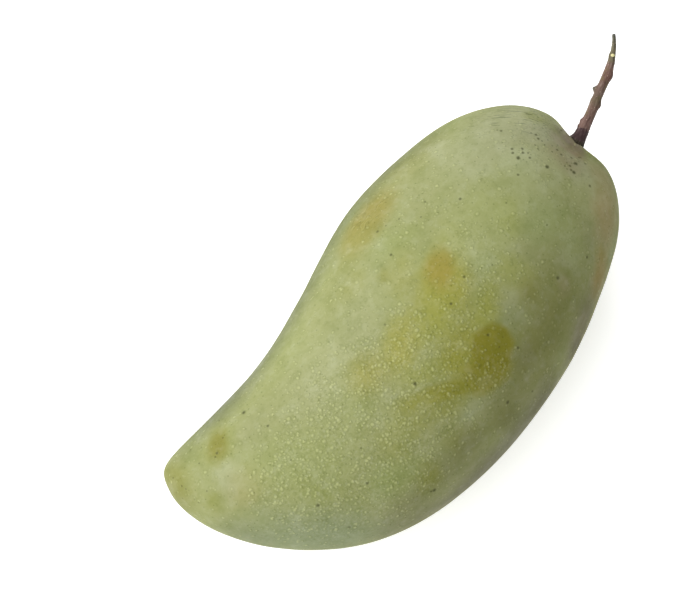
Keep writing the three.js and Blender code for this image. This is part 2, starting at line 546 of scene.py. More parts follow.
# Broad zones of the skin, lowest first; some paint shade under and along the fruit, and two paint light in
# the seat's hollow.
ZONES = coloured(
    shade,
    # Painted shade: a darker, duller green over the whole bottom of the fruit, where it shades itself.
    ("underside", (-5, -3, 0), (95, 52, 29), 12, (124, 127, 84), 0.8, 1.0),
    ("bloom on the hollow side", (-28, 6, 57), (34, 13, 14), 28, (149, 152, 110), 0.75),
    ("edge of the hollow side", (-14, 19.5, 54), (20, 7, 8), 29, (130, 134, 82), 0.7),
    ("grey shoulder", (47, 25, 57), (26, 14, 14), 10, (152, 155, 119), 0.78),
    ("pale top of the shoulder", (61, 23, 51), (8, 7, 8), -40, (155, 157, 115), 0.7),
    ("bright cheek", (24, 2, 63), (18, 13, 8), 30, (149, 155, 101), 0.65),
    ("bright shoulder", (44, 4, 61), (13, 12, 9), 20, (150, 155, 109), 0.75),
    ("grey skin by the seat", (56, 11, 56.5), (9, 9, 8), 30, (156, 158, 119), 0.85),
    ("bright skin before the seat", (48, 13.5, 60), (7.5, 6, 5), 0, (160, 165, 126), 0.7),
    ("pale skin over the seat", (60, 1.5, 53.5), (7, 7, 6), 60, (161, 161, 130), 0.8),
    ("bright stalk end", (58, -5, 54), (9, 10, 9), 60, (155, 159, 110), 0.65),
    # Painted shade: a darker band across the flank and the back, where the surface turns away from the key
    # light.
    ("deep flank", (21, -27, 52), (28, 12, 13), 26, (116, 117, 66), 0.8),
    ("dark band on the flank", (-1, -37, 48), (12, 6, 8), 15, (120, 122, 75), 0.7),
    ("dark band on the back", (-27, -39.5, 44), (20, 5, 8), 2, (119, 121, 80), 0.8),
    # Painted shade along the lower rim, greyed like light bounced up from the floor, here and by the stalk
    # end.
    ("dull rim", (-10, -44, 32), (38, 7, 10), 6, (113, 111, 86), 0.9),
    ("dull rim by the stalk end", (34, -30.5, 40), (16, 5.5, 9), 40, (119, 113, 86), 0.8),
    ("blue-green back", (-64, -30, 37), (26, 10, 14), -44, (126, 135, 102), 0.85),
    ("yellow tip", (-86, 9, 38), (7, 11, 9), 5, (128, 129, 72), 0.9),
    ("pale skin by the tip", (-75.5, -3, 45.8), (6, 6, 6.5), 0, (154, 157, 120), 0.85),
    ("pale skin before the tip", (-63, 1.5, 49.5), (11, 7, 7), 20, (149, 151, 110), 0.75),
    ("warm skin by the tip", (-71, -8.5, 47), (8, 6, 7), -30, (144, 140, 92), 0.7),
    ("yellow-green belly", (-58, -13, 51), (20, 12, 11), -30, (141, 147, 94), 0.75),
    ("yellow-green patch", (33, 1.5, 63), (7, 5, 6), 60, (143, 149, 86), 0.6),
    ("second yellow-green patch", (22, -11.5, 61.7), (6, 8, 6), 50, (143, 147, 84), 0.7),
    ("green cheek", (40, -5, 60.5), (9, 7, 8), 20, (140, 149, 98), 0.6),
    ("deep green streak", (44, -13, 56), (13, 5, 8), 67, (140, 147, 96), 0.65),
    ("blue bloom", (15, -20.5, 58.5), (6, 4, 6), -20, (129, 135, 92), 0.6),
    ("small bloom", (18, -5.5, 62.8), (4.5, 4, 5), 40, (143, 151, 105), 0.45),
    ("pale bloom", (-13, -31.6, 54), (8, 4, 7), -5, (146, 151, 112), 0.75),
    ("pale patch on the belly", (-40, -33, 49), (9, 7, 8), 0, (134, 143, 86), 0.7),
    ("olive patch on the belly", (-55.5, -21, 50.5), (8, 6, 6), 0, (131, 137, 80), 0.7),
    ("yellow skin below the tail", (-29, -26, 55.7), (10.5, 7, 6.5), 10, (135, 138, 75), 0.8),
    ("olive patch below the tail", (-30, -29, 54.5), (5, 3.5, 5), 30, (126, 131, 74), 0.6),
    ("olive patch on the flank", (-18.5, -34, 52), (6, 4.5, 6), 40, (129, 132, 76), 0.7),
    ("olive patch on the back", (-31, -38.5, 46.5), (5.5, 4.5, 6), 30, (123, 126, 62), 0.8),
    ("tan patch on the flank", (33, -22, 53.3), (3.5, 3, 4), 30, (139, 135, 96), 0.6),
    ("warm edge of the stalk end", (59, -12, 49), (12, 5, 9), 55, (163, 149, 104), 0.75),
    ("warm edge by the seat", (66, -2, 49), (4, 7, 8), 0, (160, 153, 110), 0.7),
    ("yellow edge of the shoulder", (24, 36, 50.5), (15, 7, 6), 5, (136, 138, 84), 0.7),
    # Painted light that lifts the shade in the groove before the seat.
    ("pale groove", (58.5, 17.5, 55), (6, 7, 5), 0, (160, 162, 130), 0.65),
    ("brown skin by the seat", (64, 8.6, 50.5), (4, 4.6, 4.5), 0, (137, 120, 92), 0.8),
    # Partly the skin's brown-grey, partly painted light over the shade on the seat's slope.
    ("pale slope of the seat", (62.9, 13.6, 51.2), (4.2, 3.8, 3.6), 100, (172, 163, 138), 0.7),
)

# Darkenings, each colour a factor; the side, tip and back marks are painted shade at the edges.
EDGES = coloured(
    factors,
    # Painted shade: the marks down the sides, round the tip and along the back darken the skin at the
    # fruit's edges.
    ("side by the tip", (-67, 17.6, 30), (20, 7.6, 45), 8, (0.64, 0.66, 0.7), 0.8, 1.0),
    ("side of the hollow", (-54, 19.2, 30), (19, 7, 45), 9, (0.62, 0.64, 0.74), 0.9),
    ("side before the bend", (-32, 25, 30), (18, 7, 45), 20, (0.62, 0.64, 0.72), 0.9),
    ("side after the bend", (-11, 33.4, 30), (20, 7, 45), 24, (0.6, 0.62, 0.62), 0.9),
    ("side by the yellow stain", (11, 40, 30), (20, 7, 45), 11, (0.56, 0.58, 0.5), 0.9),
    ("side of the shoulder", (31, 41.5, 30), (14, 8, 45), 0, (0.62, 0.65, 0.6), 0.85),
    ("end of the tip", (-89, 5, 34), (6, 13, 22), -10, (0.74, 0.73, 0.6), 0.6),
    ("back by the tip", (-80.5, -16.5, 31), (12, 6, 15), -57, (0.7, 0.73, 0.8), 0.7),
    ("back of the belly", (-43, -43.5, 33), (13, 6, 14), -12, (0.7, 0.68, 0.7), 0.85),
    ("back of the flank", (13, -39, 38), (9, 4.5, 9), 15, (0.68, 0.65, 0.64), 0.85),
    # These darken the skin in smaller patches.
    ("dark spot on the flank", (28, -34, 36), (6, 3.5, 5), 30, (0.66, 0.62, 0.66), 0.85),
    ("dark patch on the flank", (0, -40, 41.5), (8, 4, 6), 0, (0.76, 0.75, 0.7), 0.8),
    ("dark patch by the stalk end", (56.5, -14.5, 48), (6, 5, 6), 50, (0.82, 0.83, 0.78), 0.5),
    ("second dark patch on the flank", (11, -30.5, 52), (6, 5, 5), 10, (0.8, 0.78, 0.66), 0.85),
    ("third dark patch on the flank", (-16, -37.5, 48.5), (7, 4.5, 5), 0, (0.7, 0.69, 0.5), 0.85),
    ("fourth dark patch on the flank", (-4.8, -38.6, 46), (6, 4, 4.5), 0, (0.87, 0.87, 0.76), 0.85),
    ("fifth dark patch on the flank", (24, -17.5, 58.5), (5, 4, 5), 30, (0.86, 0.83, 0.66), 0.85),
    ("brown veil by the seat", (58.6, 10, 55.8), (5, 4.2, 3.6), 60, (0.86, 0.8, 0.78), 0.9, 0.9),
    ("rim of the seat", (66.3, 11.5, 48.8), (7, 2.6, 3.5), 90, (0.66, 0.52, 0.84), 0.95, 0.7),
)

# Stains over the zones, lowest first.
STAINS = coloured(
    shade,
    ("yellow shoulder stain", (4, 29.5, 52.5), (13, 7.5, 8), 12, (137, 130, 69), 0.9, 0.6),
    ("streak in it", (4.5, 30.5, 52), (7.5, 2.2, 3.5), 8, (126, 119, 58), 0.35, 0.8),
    ("yellow edge of it", (-2.5, 26, 54), (9, 6, 6), 10, (134, 132, 73), 0.7, 0.9),
    ("halo of the ochre stain", (5, -2.5, 63), (12.5, 8.5, 8), 50, (142, 141, 66), 0.97, 0.6),
    ("yellow skin left of it", (-1.5, 8, 61.2), (9, 5.5, 6), 45, (143, 144, 84), 0.7, 0.9),
    ("yellow skin by the hollow", (-12.5, 16.6, 56.5), (6, 4, 4), 30, (136, 138, 82), 0.6, 0.9),
    ("yellow skin over the ochre stain", (14, 6.5, 63.2), (8, 5.5, 6), 50, (142, 146, 86), 0.6, 0.9),
    ("ochre stain", (7.1, 2, 63), (7.6, 4.6, 6), 49, (141, 130, 60), 0.8, 0.6),
    ("yellow veil", (-12, -6, 61), (15, 6.5, 6), 27, (144, 144, 74), 0.75, 0.9),
    ("yellow band", (-3, -8.5, 62), (11, 7, 6), 40, (139, 141, 67), 0.85, 0.9),
    ("yellow-green by the olive stain", (3, -13, 61.5), (7, 5, 6), 40, (134, 137, 72), 0.7, 0.9),
    ("yellow-green over the olive one", (9.5, -15, 61.2), (10, 4.5, 6), 40, (137, 140, 62), 0.8, 0.9),
    ("yellow skin over the tail", (-15, -18, 59.7), (11, 4.8, 5), -15, (137, 140, 72), 0.75, 0.9),
    ("halo of the olive stain", (-2.5, -20.5, 59.3), (10, 8, 6), 25, (134, 134, 56), 0.95, 0.6),
    ("dark skin under the tail", (-15, -28.5, 56), (10, 4.5, 5), -8, (130, 132, 64), 0.8, 0.9),
    ("body of the olive stain", (-0.6, -27.8, 56.1), (9.4, 6.1, 6.8), -4, (127, 124, 47), 0.92, 0.4),
    ("olive stain", (4.6, -24.1, 57.8), (7.6, 6.8, 6.5), 49, (122, 119, 40), 0.97, 0.22),
    ("tail of the olive stain", (-13.5, -25, 57.5), (10, 2.8, 4.5), -23, (127, 126, 47), 0.88, 0.5),
    ("end of the tail", (-22, -22.5, 58), (7, 3.4, 4), -25, (132, 133, 60), 0.75, 0.8),
    ("yellow spot", (-16, -8, 61), (8, 5, 4), 40, (144, 142, 68), 0.85, 0.9),
    ("second yellow spot", (-27.5, -7, 59), (7.5, 6.5, 5), 20, (143, 141, 77), 0.8, 0.9),
    ("third yellow spot", (-5.5, 11.4, 60), (2.8, 2.2, 3), 40, (134, 135, 76), 0.75, 0.9),
    ("yellow skin round it", (-70, 7, 46), (8, 6, 6), 50, (137, 140, 80), 0.75, 0.9),
    ("brown spot by the tip", (-70.4, 6.6, 46), (5.6, 3.6, 4), 50, (124, 122, 58), 0.85, 0.7),
    ("olive spot by the tip", (-80, -3.5, 42.5), (6.5, 3.6, 5), 50, (127, 131, 72), 0.8, 0.9),
    ("ochre spot on the edge", (49.4, -20, 47), (3.4, 2.6, 4), 60, (139, 132, 72), 0.75, 0.8),
    ("ochre rim", (46.5, -24, 43), (8, 4, 7), 50, (146, 127, 74), 0.75, 0.9),
    ("grey scab field", (59.3, 4.8, 55), (5.5, 4.5, 4.5), 20, (138, 132, 97), 0.72, 0.9),
    ("yellow skin at the top", (62, 23, 52), (4, 3.5, 4), -40, (138, 144, 84), 0.6, 0.9),
)

# Where the pores crowd, and where few of them show.
DOTTED = (
    Mark("belly", (-39, -21, 54), (54, 27, 28), 10, 1.0, 0.5),
    Mark("round the stains", (10, -10, 60), (28, 22, 18), 40, 0.64, 0.8),
    Mark("under the olive stain", (1, -30, 54.5), (13, 7, 9), 40, 0.8, 0.8),
)
BARE = (
    Mark("in the olive stain", (7.2, -21.4, 58.5), (6.2, 6.2, 6.5), 49, 0.85, 0.6),
    Mark("in the ochre stain", (7.3, 3, 63), (9, 6, 6), 49, 0.7, 0.7),
    Mark("over the olive stain", (17, -17, 59.5), (8, 7, 6), 40, 0.5, 0.8),
)

# Where the fine flecks crowd, and where the scratches and the wrinkles are.
FLECKED = Mark("by the seat", (56, 13, 57), (15, 13, 9), -20, 1.0, 0.9)
SCRATCHED = Mark("by the top of the shoulder", (58, 25, 53), (15, 9, 9), -30, 1.0, 0.8)
WRINKLED = Mark("in the yellow shoulder stain", (5, 31, 51.5), (9.5, 5, 7), 10, 1.0, 0.6)

# The places of the small dark scabs, by their radius.
SPECKS: dict[float, tuple[Triple, ...]] = {
    0.2: (
        (18.2, 21.3, 59.8), (14.1, 18.3, 60.5), (9.6, 22.5, 58.2), (2.1, 28.1, 53.3), (5.7, 23.6, 57.0),
        (6.3, -24.7, 57.4), (-16.4, -23.1, 58.3), (-31.3, -10.5, 58.2), (22.0, -32.1, 46.5),
        (-65.1, 12.8, 43.2), (-68.0, 7.3, 46.4), (-77.5, 6.5, 44.2), (-85.0, 9.3, 38.7),
        (-65.4, -7.7, 49.7), (-58.5, -11.3, 51.7), (-73.6, -17.8, 41.5), (49.4, 25.7, 57.0),
        (57.1, 14.9, 56.7), (54.3, 14.8, 58.1), (58.6, 12.1, 55.8), (50.6, 13.8, 59.6), (56.8, 3.7, 56.7),
        (34.7, 5.3, 63.0), (40.0, -6.4, 60.1), (19.3, -6.3, 62.9), (31.6, -18.5, 56.4),
        (-14.8, -41.9, 41.5), (-11.8, -40.9, 43.3), (-41.9, -21.8, 54.5), (-64.4, -28.7, 38.9),
        (27.7, -32.6, 40.6), (27.0, -34.2, 37.4), (20.8, -32.9, 45.0), (56.8, 13.4, 57.0),
        (54.0, 13.3, 58.3), (58.9, 14.4, 55.5), (56.4, 18.8, 56.6), (-73.2, 4.5, 46.1), (-74.0, 10.0, 43.7),
        (-84.7, 5.5, 39.9), (-84.4, 4.0, 40.2), (-80.7, -1.0, 43.1), (-84.0, -1.2, 39.8),
        (-83.7, -3.1, 39.3), (63.2, 11.9, 50.6), (59.0, 10.3, 55.5), (60.4, 11.7, 54.2), (58.3, 5.4, 56.0),
        (56.9, 4.8, 56.8), (62.1, 4.2, 52.9), (57.0, 10.4, 56.9),
    ),
    0.3: (
        (25.7, 14.8, 62.3), (2.9, 23.9, 56.3), (0.4, 15.2, 59.7), (10.9, -4.0, 63.2), (3.0, -7.6, 62.6),
        (-14.7, 0.0, 60.5), (5.7, -20.5, 59.5), (10.9, -27.7, 54.7), (8.4, -37.5, 43.7), (-57.0, 0.6, 51.3),
        (-72.1, 5.0, 46.3), (-72.3, -19.8, 40.9), (50.0, 24.7, 57.2), (57.1, 17.5, 56.4),
        (58.9, 10.3, 55.6), (47.8, 17.6, 59.9), (50.2, 15.9, 59.5), (43.3, 10.0, 61.7), (60.9, 6.3, 53.9),
        (64.1, 5.6, 50.4), (58.4, 4.1, 55.9), (59.4, -3.6, 53.6), (45.1, -18.8, 50.9), (-46.2, -29.6, 49.8),
        (-56.9, -33.2, 40.2), (-32.3, -41.1, 41.6), (66.1, 16.0, 48.7), (58.8, 8.4, 55.7),
        (63.5, 3.0, 51.5), (57.7, 2.9, 56.1), (56.7, 16.1, 56.8), (47.0, 16.5, 60.4), (49.4, 14.7, 59.9),
        (49.9, 12.3, 60.0), (63.5, 5.6, 51.1), (60.2, 4.1, 54.6),
    ),
    0.42: (
        (-19.3, -18.3, 59.3), (-0.3, -36.4, 48.2), (-59.0, 8.9, 47.6), (47.1, 14.2, 60.6),
        (52.1, 7.2, 59.2), (33.0, -19.2, 55.5), (-60.1, -24.9, 46.6), (-56.2, -33.7, 40.0),
        (-31.4, -41.3, 41.3), (60.7, 4.0, 54.3), (57.9, 1.9, 55.8),
    ),
}


@dataclass(frozen=True)
class Dots:
    """A layer of pale breathing pores strewn over the skin.

    Attributes:
        spacing: Size of the cell that holds one pore, in millimetres.
        radius: A pore's radius, in millimetres.
        shift: Moves the layer so that two layers differ.
        strength: How pale the pores are, from 0 to 1.
    """

    spacing: float
    radius: float
    shift: float
    strength: float


@dataclass(frozen=True)
class SkinFinish:
    """Waxy green mango skin with pale pores, bloom, stains, scabs and scratches, and painted shade and
    light.

    A wander is the size, the reach and perhaps the detail of a random movement. A fade is where an
    effect starts, where it is full and perhaps its two levels.
    """

    name: str = "mango_skin"
    greens: tuple[tuple[float, Triple], ...] = (
        (0.3, shade(134, 141, 87)),
        (0.5, shade(139, 143, 95)),
        (0.7, shade(143, 146, 103)),
    )
    blotches: Grain = Grain(30.0, 2.0, 0.55)
    zone_wander: Pair = (15.0, 3.2)
    stain_wander: Triple = (4.5, 1.1, 3.0)
    sparse: float = 0.16
    clusters: Grain = Grain(6.0, 1.0, 0.5, 90.0)
    cluster_fade: Fade = (0.36, 0.54, 0.5, 1.0)
    mottles: tuple[tuple[Grain, float], ...] = (
        (Grain(9.0, 2.0, 0.6, 7.0), 0.7),
        (Grain(3.4, 2.0, 0.6, 31.0), 0.5),
    )
    fine_mottle: Grain = Grain(0.9, 2.0, 0.6, 55.0)
    fine_fade: Fade = (0.1, 0.9, 0.3, 0.9)
    mottle_dark: Triple = (0.86, 0.88, 0.80)
    mottle_dark_fade: Pair = (0.48, 0.3)
    mottle_pale: Triple = (0.05, 0.052, 0.045)
    mottle_pale_fade: Pair = (0.52, 0.7)
    dots: tuple[Dots, ...] = (Dots(1.2, 0.58, 0.0, 0.85), Dots(2.0, 0.76, 40.0, 0.95))
    dot_wander: Pair = (0.9, 0.36)
    dot_fade: Pair = (-0.3, 0.2)
    dot_core: float = 0.1
    dot_pale: Triple = (0.18, 0.185, 0.084)
    ring_edges: Pair = (1.4, 0.8)
    dot_ring: Triple = (0.86, 0.875, 0.83)
    fleck_shift: Triple = (17.0, 5.0, 29.0)
    fleck_spacing: float = 1.4
    fleck_edges: Pair = (0.25, 0.06)
    fleck_more: Pair = (0.5, 0.3)
    fleck_fade: Pair = (0.4, 0.9)
    fleck_dark: Triple = (0.70, 0.72, 0.66)
    speck_wander: Triple = (0.6, 0.12, 1.0)
    speck_edges: Pair = (2.2, 0.4)
    speck_depth: Pair = (0.33, 1.1)
    speck_dark: Triple = shade(56, 58, 32)
    scratches: Grain = Grain(1.0, 1.0, turn=-40.0, stretch=(9.0, 0.5, 0.5))
    scratch_fade: Pair = (0.57, 0.68)
    scratch_dark: Triple = (0.5, 0.53, 0.5)
    wrinkles: Grain = Grain(2.4, 1.0, 0.6, 44.0, 20.0, (2.0, 1.0, 1.0))
    wrinkle_levels: Pair = (0.5, 0.57)
    wrinkle_fade: Pair = (0.035, 0.01)
    wrinkle_depths: Pair = (0.5, 0.2)
    patches: Grain = Grain(5.0, 3.0, 0.6, 70.0)
    rough_fade: Fade = (0.3, 0.7, 0.6, 0.74)
    gloss: float = 0.08
    dimples: tuple[tuple[Grain, float], ...] = (
        (Grain(4.0, 1.0, 0.5, 12.0), 0.09),
        (Grain(0.9, 2.0, 0.6, 3.0), 0.018),
    )
    dot_rise: float = 0.12
    speck_rise: float = 0.05

    def ground(self, sheet: Worksheet) -> Socket:
        """Lays the broad greens, the zones with their painted shade and light, the stains and the painted
        shade at the edges.

        Args:
            sheet: The material being written.

        Returns:
            The colour.
        """
        colour = sheet.ramp(sheet.grain(self.blotches), self.greens)
        colour = lay(sheet, ZONES, colour, sheet.wander(*self.zone_wander))
        near = sheet.wander(*self.stain_wander)
        colour = lay(sheet, STAINS, colour, near)
        # The edge marks paint shade along the fruit's edges; the rest darken small patches.
        return lay(sheet, EDGES, colour, near, Blend.DARKEN)

    def crowding(self, sheet: Worksheet) -> Socket:
        """Works out how close together the pores are.

        Args:
            sheet: The material being written.

        Returns:
            A number from 0 to 1.
        """
        crowd: Value = self.sparse
        for mark in DOTTED:
            crowd = sheet.number("MAXIMUM", crowd, mark.cover(sheet))
        for mark in BARE:
            crowd = sheet.product(crowd, sheet.number("SUBTRACT", 1.0, mark.cover(sheet)))
        return sheet.product(crowd, sheet.fade(sheet.grain(self.clusters), *self.cluster_fade))

    def mottle(self, sheet: Worksheet, colour: Socket, crowd: Socket) -> Socket:
        """Breaks the colour up into darker and paler flecks. The finest are strongest among the pores.

        Args:
            sheet: The material being written.
            colour: The colour below.
            crowd: How close together the pores are, from 0 to 1.

        Returns:
            The colour.
        """
        fine = sheet.fade(crowd, *self.fine_fade)
        for grain, share in (*self.mottles, (self.fine_mottle, fine)):
            cloud = sheet.grain(grain)
            dark = sheet.product(sheet.fade(cloud, *self.mottle_dark_fade), share)
            pale = sheet.product(sheet.fade(cloud, *self.mottle_pale_fade), share)
            colour = sheet.mix(dark, colour, self.mottle_dark, Blend.DARKEN)
            colour = sheet.mix(pale, colour, self.mottle_pale, Blend.LIGHTEN)
        return colour

    def pores(self, sheet: Worksheet, crowd: Socket) -> tuple[Socket, Socket]:
        """Strews the pale pores, closest together over the belly and round the stains.

        Args:
            sheet: The material being written.
            crowd: How close together they are, from 0 to 1.

        Returns:
            How pale the pores are, and how dark the rings round them are, each from 0 to 1.
        """
        ragged = sheet.wander(*self.dot_wander)
        pale: Value = 0.0
        ring: Value = 0.0
        for layer in self.dots:
            moved = sheet.vector("ADD", ragged, (layer.shift, layer.shift, layer.shift))
            distance, chance = sheet.cells(moved, layer.spacing)
            radius = layer.radius / layer.spacing
            picked = sheet.fade(sheet.number("SUBTRACT", crowd, chance), *self.dot_fade)
            spot = sheet.fade(distance, radius, radius * self.dot_core, 0.0, layer.strength)
            halo = sheet.fade(distance, radius * self.ring_edges[0], radius * self.ring_edges[1])
            pale = sheet.number("MAXIMUM", pale, sheet.product(spot, picked))
            ring = sheet.number("MAXIMUM", ring, sheet.product(halo, picked))
        return pale, ring

    def flecks(self, sheet: Worksheet, crowd: Socket) -> Socket:
        """Strews tiny darker flecks, with more of them by the seat, and more among the pores, where they
        paint the shade between the raised pores.

        Args:
            sheet: The material being written.
            crowd: How close together the pores are, from 0 to 1.

        Returns:
            How dark they are, from 0 to 1.
        """
        moved = sheet.vector("ADD", sheet.where, self.fleck_shift)
        distance, rarity = sheet.cells(moved, self.fleck_spacing, Draw.SECOND)
        spot = sheet.fade(distance, *self.fleck_edges)
        # The crowd's share adds flecks that paint the shade between the raised pores.
        for more, share in zip((FLECKED.cover(sheet), crowd), self.fleck_more):
            rarity = sheet.number("ADD", rarity, sheet.product(more, share))
        return sheet.product(spot, sheet.fade(rarity, *self.fleck_fade))

    def scratched(self, sheet: Worksheet) -> Socket:
        """Draws fine rubbed lines across the top of the shoulder, from 0 to 1."""
        lines = sheet.fade(sheet.grain(self.scratches), *self.scratch_fade)
        return sheet.product(lines, SCRATCHED.cover(sheet))

    def wrinkled(self, sheet: Worksheet) -> list[Socket]:
        """Draws fine wrinkles in the shoulder's stain as painted shade in their creases and a painted
        highlight on the ridges beside them.

        Args:
            sheet: The material being written.

        Returns:
            How much painted shade lies in the creases and how much painted highlight on the ridges beside
            them, each from 0 to 1.
        """
        grain = sheet.grain(self.wrinkles)
        lines = []
        for level in self.wrinkle_levels:
            away = sheet.number("ABSOLUTE", sheet.number("SUBTRACT", grain, level))
            lines.append(sheet.fade(away, *self.wrinkle_fade))
        cover = WRINKLED.cover(sheet)
        return [sheet.product(line, cover, depth) for line, depth in zip(lines, self.wrinkle_depths)]

    def specks(self, sheet: Worksheet) -> Socket:
        """Sets the small dark scabs one by one.

        Args:
            sheet: The material being written.

        Returns:
            How much they cover the skin, from 0 to 1.
        """
        ragged = sheet.wander(*self.speck_wander)
        cover: Value = 0.0
        for radius, places in SPECKS.items():
            nearest: Value = FAR_AWAY
            for place in places:
                nearest = sheet.number("MINIMUM", nearest, sheet.vector("DISTANCE", ragged, place))
            depth = self.speck_depth[0] + self.speck_depth[1] * radius
            outer, inner = (radius * share for share in self.speck_edges)
            cover = sheet.number("MAXIMUM", cover, sheet.fade(nearest, outer, inner, 0.0, depth))
        return cover

    def relief(self, sheet: Worksheet, pale: Socket, specks: Socket) -> Socket:
        """Raises the fine relief: shallow dimples, peel, pores and scabs.

        Args:
            sheet: The material being written.
            pale: The pores.
            specks: The scabs.

        Returns:
            The height in millimetres.
        """
        layers = [(sheet.grain(grain), rise) for grain, rise in self.dimples]
        height: Value = 0.0
        for layer, rise in (*layers, (pale, self.dot_rise), (specks, self.speck_rise)):
            height = sheet.number("ADD", height, sheet.product(layer, rise))
        return height

    def make(self) -> bpy.types.Material:
        """Writes the material.

        Returns:
            The material.
        """
        sheet = Worksheet(self.name)
        colour = self.ground(sheet)
        crowd = self.crowding(sheet)
        colour = self.mottle(sheet, colour, crowd)
        pale, ring = self.pores(sheet, crowd)
        colour = sheet.mix(ring, colour, self.dot_ring, Blend.DARKEN)
        colour = sheet.mix(pale, colour, self.dot_pale, Blend.LIGHTEN)
        colour = sheet.mix(self.flecks(sheet, crowd), colour, self.fleck_dark, Blend.DARKEN)
        colour = sheet.mix(self.scratched(sheet), colour, self.scratch_dark, Blend.DARKEN)
        # Painted shade in the wrinkles' creases and a painted highlight on their ridges; the surface has no
        # such relief.
        creases, ridges = self.wrinkled(sheet)
        colour = sheet.mix(creases, colour, self.fleck_dark, Blend.DARKEN)
        colour = sheet.mix(ridges, colour, self.dot_pale, Blend.LIGHTEN)
        specks = self.specks(sheet)
        layers = {
            "Base Color": sheet.mix(specks, colour, self.speck_dark),
            "Roughness": sheet.fade(sheet.grain(self.patches), *self.rough_fade),
            "Specular IOR Level": self.gloss,
        }
        return sheet.complete(layers, self.relief(sheet, pale, specks))


@dataclass(frozen=True)
class BarkFinish:
    """Dry bark of the stalk: nearly black at its foot, brown above, with a pale scar near its tip."""

    name: str = "mango_bark"
    rows: float = 13.0
    tones: tuple[tuple[float, Triple], ...] = (
        (1.8, shade(40, 34, 22)), (2.75, shade(48, 42, 27)), (3.1, shade(58, 42, 41)),
        (4.45, shade(62, 43, 44)), (4.62, shade(110, 86, 78)), (5.6, shade(108, 84, 76)),
        (6.5, shade(100, 79, 68)), (7.1, shade(98, 84, 67)), (8.0, shade(101, 82, 72)),
        (9.0, shade(98, 72, 63)), (9.8, shade(106, 82, 73)), (10.5, shade(102, 95, 76)),
        (11.5, shade(100, 94, 72)), (13.0, shade(78, 81, 70)),
    )
    raggedness: Grain = Grain(1.6, 2.0, 0.6)
    ragged_fade: Fade = (0.25, 0.75, -0.16, 0.16)
    fibres: Grain = Grain(0.55, 3.0, 0.65)
    fibre_stretch: Triple = (1.0, 1.0, 0.22)
    furrow: Triple = (0.55, 0.5, 0.5)
    furrow_fade: Fade = (0.5, 0.3, 0.0, 0.8)
    bloom: Triple = (0.10, 0.085, 0.075)
    bloom_fade: Fade = (0.5, 0.72, 0.0, 0.8)
    above_foot: Pair = (4.6, 4.8)
    lichens: Grain = Grain(2.4, 2.0, 0.5, 20.0)
    lichen: Triple = shade(104, 98, 62)
    lichen_fade: Fade = (0.54, 0.68, 0.0, 0.45)
    stub: Mark = Mark("broken twig", (80.6, 18.9, 53.4), (1.5, 1.5, 1.6), 0, 0.85, 0.8, shade(66, 70, 52))
    pore: Triple = shade(196, 168, 150)
    pore_spacing: float = 0.75
    pore_edges: Pair = (0.24, 0.1)
    pore_fade: Pair = (0.45, 0.6)
    pore_amount: float = 0.7
    scar: Triple = shade(220, 213, 158)
    scar_fade: Pair = (0.45, 0.65)
    rough_fade: Fade = (0.3, 0.7, 0.72, 0.9)
    gloss: float = 0.25
    fibre_rise: float = 0.16
    pore_rise: float = 0.05

    def make(self) -> bpy.types.Material:
        """Writes the material.

        Returns:
            The material.
        """
        sheet = Worksheet(self.name)
        straight = sheet.kept("straight", Kept.TRIPLE)
        ragged = sheet.grain(self.raggedness)
        row = sheet.number("ADD", sheet.kept("row"), sheet.fade(ragged, *self.ragged_fade))
        stops = tuple((place / self.rows, tone) for place, tone in self.tones)
        colour = sheet.ramp(sheet.number("DIVIDE", row, self.rows), stops)
        fibres = sheet.grain(self.fibres, sheet.vector("MULTIPLY", straight, self.fibre_stretch))
        colour = sheet.mix(sheet.fade(fibres, *self.furrow_fade), colour, self.furrow, Blend.DARKEN)
        colour = sheet.mix(sheet.fade(fibres, *self.bloom_fade), colour, self.bloom, Blend.LIGHTEN)
        patches = sheet.grain(self.lichens)
        above = sheet.fade(row, *self.above_foot)
        lichen = sheet.product(sheet.fade(patches, *self.lichen_fade), above)
        colour = sheet.mix(lichen, colour, self.lichen)
        colour = sheet.mix(self.stub.cover(sheet), colour, self.stub.colour)
        distance, chance = sheet.cells(sheet.where, self.pore_spacing)
        spot = sheet.fade(distance, *self.pore_edges)
        pores = sheet.product(spot, sheet.fade(chance, *self.pore_fade), above)
        colour = sheet.mix(sheet.product(pores, self.pore_amount), colour, self.pore)
        colour = sheet.mix(sheet.fade(sheet.kept("scar"), *self.scar_fade), colour, self.scar)
        layers = {
            "Base Color": colour,
            "Roughness": sheet.fade(fibres, *self.rough_fade),
            "Specular IOR Level": self.gloss,
        }
        rises = sheet.product(fibres, self.fibre_rise), sheet.product(pores, self.pore_rise)
        return sheet.complete(layers, sheet.number("ADD", *rises))


@dataclass(frozen=True)
class FloorFinish:
    """Matt white paper on a light table."""

    name: str = "white_paper"
    whites: tuple[tuple[float, Triple], ...] = ((0.3, (0.85, 0.85, 0.85)), (0.7, (0.87, 0.87, 0.87)))
    fibres: Grain = Grain(1.5, 3.0, 0.6)
    rough_fade: Fade = (0.3, 0.7, 0.86, 0.94)
    gloss: float = 0.1
    glow_colour: Triple = (1.0, 1.0, 1.0)
    glow: float = 0.56

    def make(self) -> bpy.types.Material:
        """Writes the material.

        Returns:
            The material.
        """
        sheet = Worksheet(self.name)
        fibres = sheet.grain(self.fibres)
        layers = {
            "Base Color": sheet.ramp(fibres, self.whites),
            "Roughness": sheet.fade(fibres, *self.rough_fade),
            "Specular IOR Level": self.gloss,
            "Emission Color": self.glow_colour,
            "Emission Strength": self.glow,
        }
        return sheet.complete(layers)


# --- The fruit ---


@dataclass(frozen=True)
class Station:
    """One section of the fruit, in millimetres.

    Attributes:
        hollow: Its [x, y] on the hollow side.
        back: Its [x, y] on the back.
        half_thickness: Half its thickness between the two cheeks.
    """

    hollow: Pair
    back: Pair
    half_thickness: float


@dataclass(frozen=True)
class Wave:
    """A gentle wave of the grown surface: waves round a section, turn per station, start and height."""

    round: int
    along: float
    phase: float
    height: float


